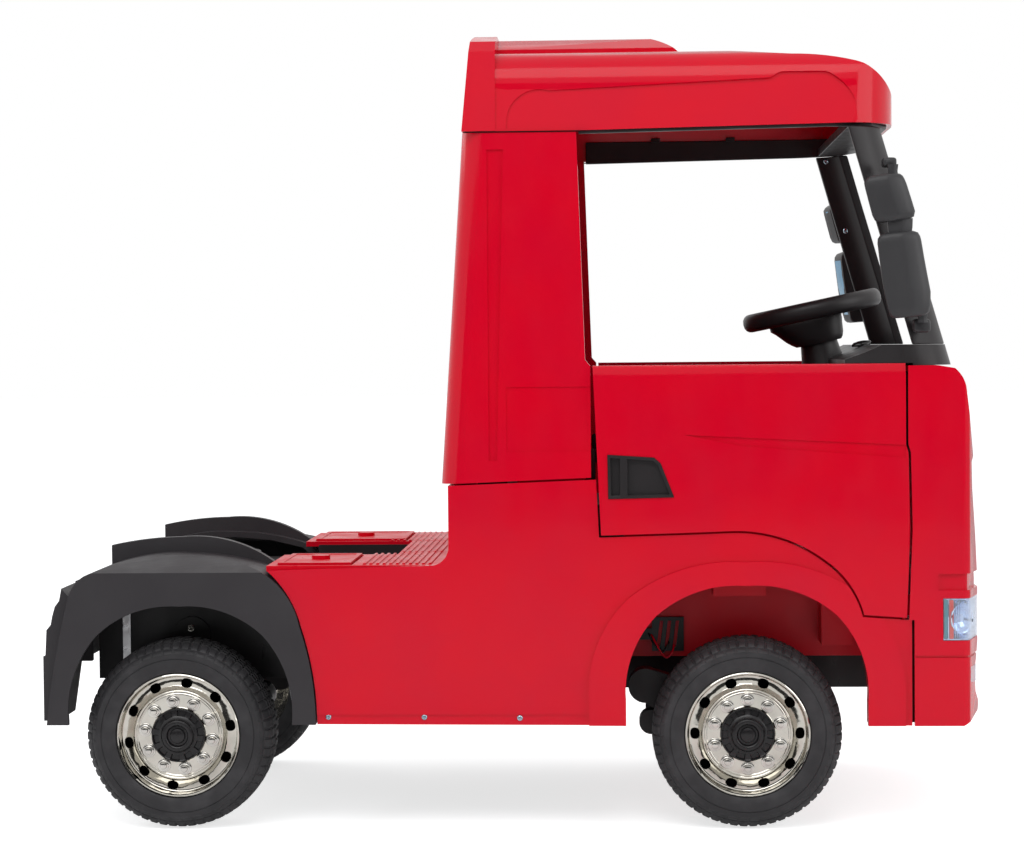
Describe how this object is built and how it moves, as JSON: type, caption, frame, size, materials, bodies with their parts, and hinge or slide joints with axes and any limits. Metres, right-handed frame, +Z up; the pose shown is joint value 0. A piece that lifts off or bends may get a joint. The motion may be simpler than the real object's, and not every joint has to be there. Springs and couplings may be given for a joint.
{
  "type": "ride-on electric toy truck tractor unit",
  "caption": "Child's ride-on electric toy truck: a cab-over tractor unit with opening doors, linked steering, rolling wheels and a rear deck with a coupling plate.",
  "frame": {"origin": "on the ground under the middle of the overall length and width", "axes": "+X forward along the truck, +Y to its left, +Z up"},
  "size_m": [1.28, 0.726, 1.089],
  "materials": {
    "body_red": "glossy moulded plastic",
    "inner_red": "moulded plastic, unpainted inside",
    "fender_grey": "matt moulded plastic",
    "black_plastic": "satin black plastic",
    "chassis_black": "matt black plastic",
    "grille_black": "gloss black plastic",
    "mirror_plastic": "satin black plastic",
    "mirror_foil": "reflective foil",
    "lamp_clear": "clear lens",
    "lamp_red": "red lens",
    "seat_plastic": "textured black plastic",
    "battery_case": "battery case",
    "strut_grey": "bare metal strap",
    "axle_steel": "zinc plated steel",
    "foam_tyre": "moulded foam rubber",
    "rim_chrome": "chrome plated plastic"
  },
  "bodies": {
    "truck": {"a_pillars": "black_plastic", "battery": "battery_case", "body_side_left": "body_red", "body_side_right": "body_red", "cab_rear_shell": "body_red", "chassis_frame": "chassis_black", "coupling_plate": "black_plastic", "dashboard": "black_plastic", "deck_covers": "body_red", "deck_insert": "black_plastic", "fender_left": "fender_grey", "fender_right": "fender_grey", "floor_pan": "inner_red", "front_axle": "axle_steel", "front_fascia": "body_red", "front_lamps": "lamp_clear", "grille": "grille_black", "mirror_glasses": "mirror_foil", "mirror_housings": "mirror_plastic", "pedal": "black_plastic", "rear_axle": "axle_steel", "rear_deck": "body_red", "rear_gearboxes": "chassis_black", "rear_panel": "fender_grey", "rear_struts": "strut_grey", "roof_frame": "black_plastic", "roof_shell": "body_red", "seat": "seat_plastic", "seat_base": "inner_red", "tail_lamps": "lamp_red"},
    "steering": {"steering_wheel": "black_plastic"},
    "knuckle_right": {"knuckle_right": "chassis_black"},
    "knuckle_left": {"knuckle_left": "chassis_black"},
    "tie_rod": {"tie_rod": "axle_steel"},
    "door_right": {"door_right": "body_red", "door_handle_right": "black_plastic"},
    "door_left": {"door_left": "body_red", "door_handle_left": "black_plastic"},
    "wheel_front_right": {"tyre_front_right": "foam_tyre", "rim_front_right": "rim_chrome", "hub_cap_front_right": "black_plastic"},
    "wheel_front_left": {"tyre_front_left": "foam_tyre", "rim_front_left": "rim_chrome", "hub_cap_front_left": "black_plastic"},
    "wheel_rear_right": {"tyre_rear_right": "foam_tyre", "rim_rear_right": "rim_chrome", "hub_cap_rear_right": "black_plastic"},
    "wheel_rear_left": {"tyre_rear_left": "foam_tyre", "rim_rear_left": "rim_chrome", "hub_cap_rear_left": "black_plastic"}
  },
  "joints": [
    {"name": "roll_front_right", "type": "hinge", "parent": "knuckle_right", "child": "wheel_front_right", "pos_m": [0.323, -0.251, 0.13], "axis": [0, 1, 0], "continuous": true},
    {"name": "roll_front_left", "type": "hinge", "parent": "knuckle_left", "child": "wheel_front_left", "pos_m": [0.323, 0.251, 0.13], "axis": [0, 1, 0], "continuous": true},
    {"name": "roll_rear_right", "type": "hinge", "parent": "truck", "child": "wheel_rear_right", "pos_m": [-0.457, -0.251, 0.13], "axis": [0, 1, 0], "continuous": true},
    {"name": "roll_rear_left", "type": "hinge", "parent": "truck", "child": "wheel_rear_left", "pos_m": [-0.457, 0.251, 0.13], "axis": [0, 1, 0], "continuous": true},
    {"name": "steer_left", "type": "hinge", "parent": "truck", "child": "knuckle_left", "pos_m": [0.323, 0.184, 0.13], "axis": [0, 0, 1], "range_deg": [-20, 20]},
    {"name": "steer_right", "type": "hinge", "parent": "truck", "child": "knuckle_right", "pos_m": [0.323, -0.184, 0.13], "axis": [0, 0, 1], "range_deg": [-20, 20]},
    {"name": "steering_turn", "type": "hinge", "parent": "truck", "child": "steering", "pos_m": [0.433, 0, 0.71], "axis": [-0.2045, 0, 0.9789], "range_deg": [-60, 60]},
    {"name": "tie_rod_pivot", "type": "hinge", "parent": "knuckle_left", "child": "tie_rod", "pos_m": [0.375, 0.184, 0.097], "axis": [0, 0, 1], "range_deg": [-20, 20]},
    {"name": "door_right_swing", "type": "hinge", "parent": "truck", "child": "door_right", "pos_m": [0.533, -0.308, 0.463], "axis": [0, 0, 1], "range_deg": [0, 55]},
    {"name": "door_left_swing", "type": "hinge", "parent": "truck", "child": "door_left", "pos_m": [0.533, 0.308, 0.463], "axis": [0, 0, 1], "range_deg": [-55, 0]}
  ],
  "couplings": [
    {"joint": "steer_right", "follows": "steer_left", "ratio": 1},
    {"joint": "steering_turn", "follows": "steer_left", "ratio": 3},
    {"joint": "tie_rod_pivot", "follows": "steer_left", "ratio": -1}
  ]
}
